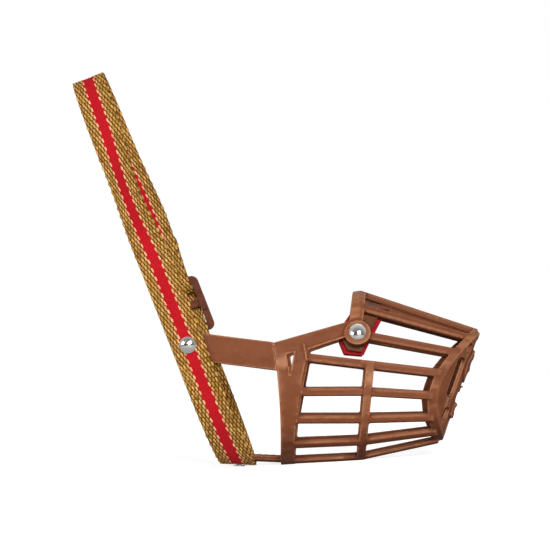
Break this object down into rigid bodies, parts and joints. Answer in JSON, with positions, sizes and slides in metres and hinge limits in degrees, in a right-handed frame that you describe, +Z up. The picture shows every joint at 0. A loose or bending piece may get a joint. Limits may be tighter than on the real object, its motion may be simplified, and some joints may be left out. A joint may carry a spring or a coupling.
{
  "type": "basket muzzle",
  "caption": "Moulded basket muzzle for a small dog, with a webbing head strap, a tongue buckle and a felt nose pad.",
  "frame": {"origin": "middle of the flat under the rear rim, which the muzzle stands on", "axes": "+X towards the dog's nose, +Y to the dog's left (the buckle's side), +Z up"},
  "size_m": [0.1753, 0.0541, 0.1801],
  "materials": {
    "cage_plastic": "semi-matte moulded brown plastic",
    "webbing": "woven gold webbing with a red stripe",
    "rivet_metal": "polished nickel",
    "prong_steel": "bright steel",
    "buckle_plastic": "semi-matte dark brown plastic",
    "pad_leather": "grained brown leather",
    "pad_felt": "red felt"
  },
  "bodies": {
    "basket": {"basket": "cage_plastic", "side_arm_left": "cage_plastic", "side_arm_right": "cage_plastic", "chin_arm": "cage_plastic", "throat_strap": "webbing", "side_rivet_cap_left": "rivet_metal", "side_rivet_cap_right": "rivet_metal", "side_rivet_post_left": "rivet_metal", "side_rivet_post_right": "rivet_metal", "nose_rivet_cap_left": "rivet_metal", "nose_rivet_cap_right": "rivet_metal", "nose_rivet_post_left": "rivet_metal", "nose_rivet_post_right": "rivet_metal", "chin_rivet_cap": "rivet_metal", "chin_rivet_post": "rivet_metal", "nose_pad_leather": "pad_leather", "nose_pad_felt": "pad_felt"},
    "neck_strap": {"neck_strap": "webbing", "strap_tail": "webbing", "buckle_frame": "buckle_plastic", "fold_rivet_cap": "rivet_metal", "fold_rivet_post": "rivet_metal"},
    "prong": {"buckle_prong": "prong_steel"}
  },
  "joints": [
    {"name": "strap_swing", "type": "hinge", "parent": "basket", "child": "neck_strap", "pos_m": [-0.0388, 0, 0.055], "axis": [0, 1, 0], "range_deg": [-25, 25]},
    {"name": "prong_swing", "type": "hinge", "parent": "neck_strap", "child": "prong", "pos_m": [-0.04476, 0.0229, 0.07346], "axis": [0.9516, 0, 0.3074], "range_deg": [0, 100]}
  ]
}
